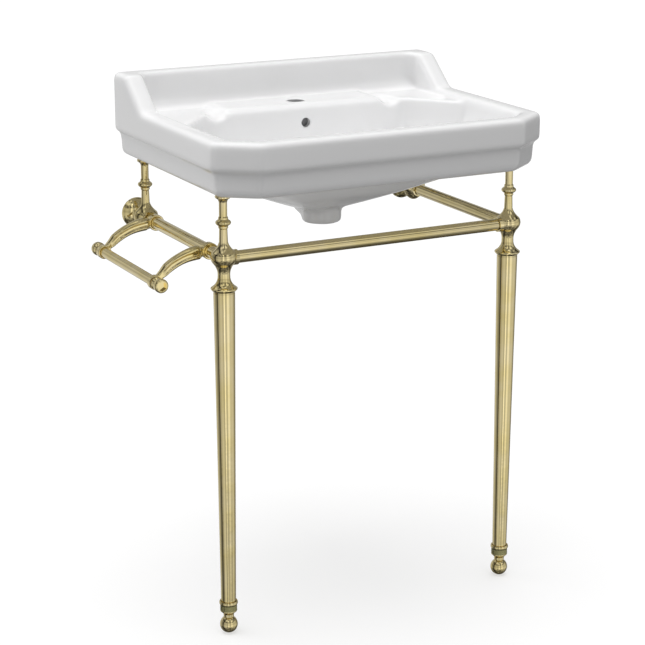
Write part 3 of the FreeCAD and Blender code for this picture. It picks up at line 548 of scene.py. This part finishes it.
def full_knuckle(node_name, settings):
    """A knuckle with a fuller bulb."""
    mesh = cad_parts[node_name].data.copy()
    places = points_of(mesh)
    low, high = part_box(node_name)
    out, reach = away_from_axis(
        places, side_of(node_name), LEG_Y if "front" in node_name else REAR_Y)
    full = np.exp(-((places[:, 2] - BULB_Z) / BULB_REACH) ** 2) * rise(reach, *BULB_START)
    full *= 1 - rise(reach, *BULB_END)
    push_out(places, out, reach, full * settings.bulb_swell)
    places = np.clip(places, np.array(low) - BOX_ROOM, np.array(high) + BOX_ROOM)
    places[:, 1] = np.minimum(places[:, 1], 0.0)
    move_points(mesh, places)
    return stand_in(f"full_{node_name}", node_name, mesh)


def turned_knob(node_name, settings):
    """A turned knob with a neck and a hexagon recess in its face."""
    low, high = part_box(node_name)
    outward = -1 if node_name.endswith("front") else 1
    seat = high.y if outward < 0 else low.y
    length = high.y - low.y
    shape = bmesh.new()
    rings = []
    for share, across in KNOB_OUTLINE:
        rings.append([shape.verts.new((
            math.cos(turn) * across * settings.knob_radius, share * length * outward,
            math.sin(turn) * across * settings.knob_radius))
            for turn in (2 * math.pi * i / KNOB_SIDES for i in range(KNOB_SIDES))])
    for first, second in zip(rings, rings[1:]):
        for i in range(KNOB_SIDES):
            k = (i + 1) % KNOB_SIDES
            shape.faces.new((first[i], first[k], second[k], second[i]))
    shape.faces.new(rings[0])
    shape.faces.new(rings[-1])
    bmesh.ops.recalc_face_normals(shape, faces=shape.faces)
    mesh = bored(mesh_from("knob", shape), (0, length * outward, 0), HEXAGON,
                 settings.recess_radius, length / 2)
    places = points_of(mesh)
    places += np.array(((low.x + high.x) / 2, seat, (low.z + high.z) / 2))
    move_points(mesh, places)
    shade_smooth(mesh)
    mesh.set_sharp_from_angle(angle=KNOB_SHARP)
    return stand_in(f"turned_{node_name}", node_name, mesh)


# ---------------------------------------------------------------- finishes

# Share of the glaze's colour that its darker patches keep.
GLAZE_SHADE = (0.975, 0.975, 0.97)
# How much wider than the overflow the painted duct shade behind it is, and how far back it
# reaches.
DUCT_WIDENING, DUCT_DEPTH = 1.25, 0.025
# How dark the painted shade in the tap hole is, how much wider than the hole it is, and how
# far below the deck it begins.
TAP_SHADE, TAP_ROOM, TAP_DROP = 0.75, 0.001, 0.0012
# Painted shade between a knurl's teeth, its share in the band, and how much duller the band is.
KNURL_PAINTED_SHADE, KNURL_SHADE, KNURL_DULLNESS = (0.31, 0.30, 0.14), 0.9, 0.2
BRASS_RELIEF, CUSHION_RELIEF = 0.0004, 0.0002


def glazed_china(settings):
    """White glaze with slow waves and a faint change of tone, and painted shade in the holes."""
    material, tree = blank_material("glazed_china")
    place = object_place(tree)
    slow = noise(tree, place, 9.0, 2.0)
    fine = noise(tree, place, 160.0, 3.0)
    tone = tuple(c * share for c, share in zip(settings.glaze, GLAZE_SHADE))
    colour = mix_colour(tree, slow, tone, tuple(settings.glaze))
    x, y, z = node(tree, "ShaderNodeSeparateXYZ", inputs={0: place})
    hole, tap = settings.overflow_place, settings.tap_place
    across = distance_from(x, z, hole[0], hole[2])
    duct_shade = step_down(tree, across, settings.overflow_radius * DUCT_WIDENING) * step_up(
        tree, y, hole[1]) * step_down(tree, y, hole[1] + DUCT_DEPTH)
    across = distance_from(x, y, tap[0], tap[1])
    tap_hole_shade = TAP_SHADE * step_down(tree, across, settings.tap_radius + TAP_ROOM) * step_down(
        tree, z, tap[2] - TAP_DROP)
    # Painted shade: the overflow duct and the tap hole take the dark body colour.
    colour = mix_colour(tree, duct_shade.calculate("MAXIMUM", duct_shade, tap_hole_shade), colour,
                        tuple(settings.body))
    rough = map_range(tree, fine, 0.3, 0.7, settings.roughness * 0.8, settings.roughness * 1.25)
    ripple = slow * 0.9 + fine * 0.1
    shader = node(tree, "ShaderNodeBsdfPrincipled", inputs={
        "Base Color": colour, "Roughness": rough, "IOR": 1.5,
        "Coat Weight": 0.6, "Coat Roughness": 0.04, "Coat IOR": 1.5,
        "Normal": bump(tree, ripple, settings.ripple)})[0]
    finish_material(tree, shader)
    return material


def polished_brass(settings, knurled=None):
    """Pale gold polish with faint buffing marks and warmer patches.

    Between the two heights of knurled the metal carries painted shade and is duller.
    """
    material, tree = blank_material("knurled_brass" if knurled else "polished_brass")
    place = object_place(tree)
    patches = noise(tree, place, 26.0, 3.0)
    fine = noise(tree, place, 420.0, 4.0, 0.65)
    warm = map_range(tree, patches, 0.35, 0.75, 0.0, 1.0)
    colour = mix_colour(tree, warm, tuple(settings.polish), tuple(settings.deep))
    rough = map_range(tree, fine, 0.25, 0.75, settings.roughness * 0.7, settings.roughness * 1.4)
    waves = patches * 0.8 + fine * 0.05
    if knurled:
        z = node(tree, "ShaderNodeSeparateXYZ", inputs={0: place})[2]
        band = step_up(tree, z, knurled[0]) * step_down(tree, z, knurled[1])
        # Painted shade darkens the knurl band.
        colour = mix_colour(tree, band * KNURL_SHADE, colour, KNURL_PAINTED_SHADE)
        rough = rough + band * KNURL_DULLNESS
    shader = node(tree, "ShaderNodeBsdfPrincipled", inputs={
        "Base Color": colour, "Metallic": 1.0, "Roughness": rough,
        "Normal": bump(tree, waves, BRASS_RELIEF)})[0]
    finish_material(tree, shader)
    return material


def soft_cushion(settings):
    """Dull pale rubber with a fine mottle."""
    material, tree = blank_material("soft_cushion")
    place = object_place(tree)
    mottle = noise(tree, place, 300.0, 3.0)
    dark = tuple(c * 0.85 for c in settings.tint)
    colour = mix_colour(tree, mottle, dark, tuple(settings.tint))
    rough = map_range(tree, mottle, 0.3, 0.7, 0.5, 0.7)
    shader = node(tree, "ShaderNodeBsdfPrincipled", inputs={
        "Base Color": colour, "Roughness": rough, "Normal": bump(tree, mottle, CUSHION_RELIEF)})[0]
    finish_material(tree, shader)
    return material


# ---------------------------------------------------------------- stage

# Brightness of the studio in reflections, by turn from the camera in degrees.
STUDIO_BANDS = (
    (-180, 0.48), (-150, 0.56), (-134, 0.62), (-122, 0.50), (-104, 0.30), (-88, 0.24),
    (-79, 0.05), (-71, 0.05), (-64, 0.38), (-48, 0.52), (-36, 0.62), (-24, 0.58),
    (-14, 0.46), (-6, 0.50), (-2, 1.20), (4, 1.15), (9, 0.66), (20, 0.50),
    (27, 0.62), (35, 1.0), (48, 0.92), (60, 0.64), (74, 0.58), (84, 0.66),
    (100, 0.56), (118, 0.42), (128, 0.12), (140, 0.22), (152, 0.40), (180, 0.48),
)
# The same by height, as the sine of the angle above the horizon.
STUDIO_HEIGHTS = (
    (-1.0, 0.40), (-0.97, 0.20), (-0.90, 0.20), (-0.81, 0.32), (-0.66, 0.46), (-0.52, 0.66),
    (-0.35, 1.05), (-0.1, 1.0), (0.02, 0.70), (0.14, 0.84), (0.34, 0.95), (0.46, 0.45),
    (0.56, 0.48), (0.64, 0.85), (0.80, 1.0), (0.90, 0.55), (0.95, 0.9), (1.0, 1.1),
)
# Lamps: name, where each stands and its strength. All have the same wide spread.
LAMPS = (
    ("top_lamp", (-0.15, 0.0, 2.0), 2.25),
    ("left_lamp", (-1.5, 1.1, 0.7), 0.65),
    ("right_lamp", (1.5, 1.0, 0.5), 0.3),
)
LAMP_SPREAD = math.radians(50)
# Strength of the whole studio in reflections, and that of its plain light on matt surfaces.
STUDIO_STRENGTH = 1.07
PLAIN_STRENGTH = 0.42
# Brightness of the studio's patches from dark to light, and the steepness, as the sine of the
# angle from the horizon, between which they set in.
PATCHES = (0.42, 1.35)
PATCH_START = (0.34, 0.46)
# Share of the floor that shows as plain white paper, the grey that it throws back, half its
# width and how far it lies below the feet.
PAPER_SHARE = 0.6
FLOOR_BOUNCE = (0.31, 0.31, 0.31, 1.0)
FLOOR_HALF = 30.0
FLOOR_DROP = 0.0005
WHITE = (1, 1, 1, 1)
SENSOR_WIDTH = 36.0


def add_lamp(name, place, strength):
    """A soft distant lamp that shines from a place towards the middle, out of the gloss."""
    lamp = bpy.data.lights.new(name, "SUN")
    lamp.angle = LAMP_SPREAD
    lamp.energy = strength
    holder = bpy.data.objects.new(name, lamp)
    holder.location = place
    holder.rotation_euler = (-Vector(place)).to_track_quat("-Z", "Y").to_euler()
    holder.visible_glossy = False
    bpy.context.collection.objects.link(holder)


def seen_directly(tree):
    """One for rays from the camera, from gloss and through glass, and nought for the rest."""
    path = node(tree, "ShaderNodeLightPath")
    return path[0].calculate("MAXIMUM", path[0], path[3].calculate("MAXIMUM", path[3], path[6]))


def floor_finish(settings):
    """Pale matt floor that throws less light back than it shows."""
    material, tree = blank_material("pale_floor")
    place = object_place(tree)
    mottle = noise(tree, place, 3.0, 2.0)
    tone = tuple(c * 0.99 for c in settings.floor)
    colour = mix_colour(tree, mottle, tone, tuple(settings.floor))
    shown = node(tree, "ShaderNodeBsdfDiffuse", inputs={"Color": colour})[0]
    dim = node(tree, "ShaderNodeBsdfDiffuse", inputs={"Color": FLOOR_BOUNCE})[0]
    paper = node(tree, "ShaderNodeEmission", inputs={"Color": WHITE, "Strength": 1.0})[0]
    shown = node(tree, "ShaderNodeMixShader", inputs={0: PAPER_SHARE, 1: shown, 2: paper})[0]
    both = node(tree, "ShaderNodeMixShader", inputs={0: seen_directly(tree), 1: dim, 2: shown})[0]
    finish_material(tree, both)
    return material


def studio_bands(tree, settings):
    """Soft bright and dark bands of the studio, by the way that a ray goes."""
    way = node(tree, "ShaderNodeTexCoord")[0]
    x, y, z = node(tree, "ShaderNodeSeparateXYZ", inputs={0: way})
    turned = x.calculate("ARCTAN2", x, -1 * y)
    around = turned * (1 / (2 * math.pi)) + (settings.yaw / (2 * math.pi) + 0.5)
    share = around.calculate("FRACT", around)
    stops = [((turn + 180) / 360, level) for turn, level in STUDIO_BANDS]
    bands = node(tree, "ShaderNodeValToRGB", {"stops": stops}, {0: share})[0]
    stops = [((height + 1) / 2, level) for height, level in STUDIO_HEIGHTS]
    heights = node(tree, "ShaderNodeValToRGB", {"stops": stops}, {0: z * 0.5 + 0.5})[0]
    patches = map_range(tree, noise(tree, way, 3.4, 1.0), 0.44, 0.58, *PATCHES)
    steep = map_range(tree, z.calculate("ABSOLUTE", z), *PATCH_START, 0.0, 1.0)
    return bands * heights * (1 + (patches - 1) * steep) * STUDIO_STRENGTH


def add_floor(settings):
    """The floor under the feet, which the brass doesn't reflect."""
    shape = bmesh.new()
    bmesh.ops.create_grid(shape, x_segments=8, y_segments=8, size=FLOOR_HALF)
    floor = add_object("floor", mesh_from("floor", shape))
    floor.location = (0, 0, FLOOR_Z - FLOOR_DROP)
    floor.data.materials.append(floor_finish(settings))
    floor.visible_glossy = False


def studio_world(settings):
    """White to the eye, plain light for matt surfaces and the studio's bands for gloss."""
    world = bpy.data.worlds.new("studio")
    world.use_nodes = True
    tree = world.node_tree
    tree.nodes.clear()

    def background(strength):
        return node(tree, "ShaderNodeBackground", inputs={
            "Color": WHITE, "Strength": strength})[0]

    plain, white = background(PLAIN_STRENGTH), background(1.0)
    bands = background(studio_bands(tree, settings))
    mixed = node(tree, "ShaderNodeMixShader", inputs={
        0: seen_directly(tree), 1: plain, 2: white})[0]
    glossy = node(tree, "ShaderNodeLightPath")[3]
    mixed = node(tree, "ShaderNodeMixShader", inputs={0: glossy, 1: mixed, 2: bands})[0]
    node(tree, "ShaderNodeOutputWorld", inputs={"Surface": mixed})
    return world


def add_camera(settings):
    """The camera at the photo's angle."""
    data = bpy.data.cameras.new("camera")
    data.lens = settings.lens
    data.sensor_width = SENSOR_WIDTH
    camera = add_object("camera", data)
    camera.location = settings.camera_place
    camera.rotation_euler = (math.pi / 2 - settings.pitch, 0, -settings.yaw)
    return camera


def build_stage(settings):
    """Floor, lamps, world and camera."""
    scene = bpy.context.scene
    scene.view_settings.view_transform = "Standard"
    add_floor(settings)
    for lamp in LAMPS:
        add_lamp(*lamp)
    scene.world = studio_world(settings)
    scene.camera = add_camera(settings)


# ---------------------------------------------------------------- operators

class DressChina(bpy.types.Operator):
    """Glaze the basin"""
    bl_idname = "console_basin.dress_china"
    bl_label = "Glaze the basin"

    def execute(self, context):
        settings = context.scene.console_china
        glaze = glazed_china(settings)
        dress(CHINA_NODES, glaze)
        finish_pieces([soft_shell(settings)], glaze)
        return {"FINISHED"}


class DressBrass(bpy.types.Operator):
    """Polish the frame, legs, feet and towel rail"""
    bl_idname = "console_basin.dress_brass"
    bl_label = "Polish the brass"

    def execute(self, context):
        dress(BRASS_NODES, polished_brass(context.scene.console_brass))
        return {"FINISHED"}


class FluteTowelArms(bpy.types.Operator):
    """Shape the towel arms"""
    bl_idname = "console_basin.flute_towel_arms"
    bl_label = "Shape the towel arms"

    def execute(self, context):
        sizes = context.scene.console_fitting
        pieces = [fluted_arm(name, sizes) for name in ARM_NODES]
        finish_pieces(pieces, bpy.data.materials["polished_brass"])
        return {"FINISHED"}


class FillKnuckles(bpy.types.Operator):
    """Shape the knuckles"""
    bl_idname = "console_basin.fill_knuckles"
    bl_label = "Shape the knuckles"

    def execute(self, context):
        sizes = context.scene.console_fitting
        pieces = [full_knuckle(name, sizes) for name in KNUCKLE_NODES]
        finish_pieces(pieces, bpy.data.materials["polished_brass"])
        return {"FINISHED"}


class TurnKnobs(bpy.types.Operator):
    """Turn the knobs on the towel bar"""
    bl_idname = "console_basin.turn_knobs"
    bl_label = "Turn the knobs"

    def execute(self, context):
        sizes = context.scene.console_fitting
        pieces = [turned_knob(name, sizes) for name in KNOB_NODES]
        finish_pieces(pieces, bpy.data.materials["polished_brass"])
        return {"FINISHED"}


class KnurlFerrules(bpy.types.Operator):
    """Knurl the ferrules"""
    bl_idname = "console_basin.knurl_ferrules"
    bl_label = "Knurl the ferrules"

    def execute(self, context):
        sizes = context.scene.console_fitting
        metal = polished_brass(context.scene.console_brass, knurl_band())
        dress(FERRULE_NODES, metal)
        finish_pieces([knurled_ferrule(name, sizes) for name in FERRULE_NODES], metal)
        return {"FINISHED"}


class DressCushions(bpy.types.Operator):
    """Finish the soft discs between the posts and the basin"""
    bl_idname = "console_basin.dress_cushions"
    bl_label = "Finish the cushions"

    def execute(self, context):
        dress(CUSHION_NODES, soft_cushion(context.scene.console_cushion))
        return {"FINISHED"}


class BuildStage(bpy.types.Operator):
    """Set up floor, light and camera"""
    bl_idname = "console_basin.build_stage"
    bl_label = "Set up the stage"

    def execute(self, context):
        build_stage(context.scene.console_stage)
        return {"FINISHED"}


class ConsolePanel(bpy.types.Panel):
    """Lists the steps"""
    bl_idname = "VIEW3D_PT_console_basin"
    bl_label = "Console Basin"
    bl_space_type = "VIEW_3D"
    bl_region_type = "UI"
    bl_category = "Console Basin"

    def draw(self, context):
        for operator in OPERATORS:
            self.layout.operator(operator.bl_idname)


SETTINGS = {
    "console_china": ChinaSettings, "console_brass": BrassSettings,
    "console_fitting": FittingSettings, "console_cushion": CushionSettings,
    "console_stage": StageSettings,
}
OPERATORS = (DressChina, DressBrass, FluteTowelArms, FillKnuckles, TurnKnobs, KnurlFerrules,
             DressCushions, BuildStage)
CLASSES = (*SETTINGS.values(), *OPERATORS, ConsolePanel)


def register():
    for cls in CLASSES:
        bpy.utils.register_class(cls)
    for name, group in SETTINGS.items():
        setattr(bpy.types.Scene, name, bpy.props.PointerProperty(type=group))


def unregister():
    for name in SETTINGS:
        delattr(bpy.types.Scene, name)
    for cls in reversed(CLASSES):
        bpy.utils.unregister_class(cls)


def main():
    register()
    for operator in OPERATORS:
        getattr(bpy.ops.console_basin, operator.bl_idname.split(".")[1])()


if __name__ == "__main__":
    main()
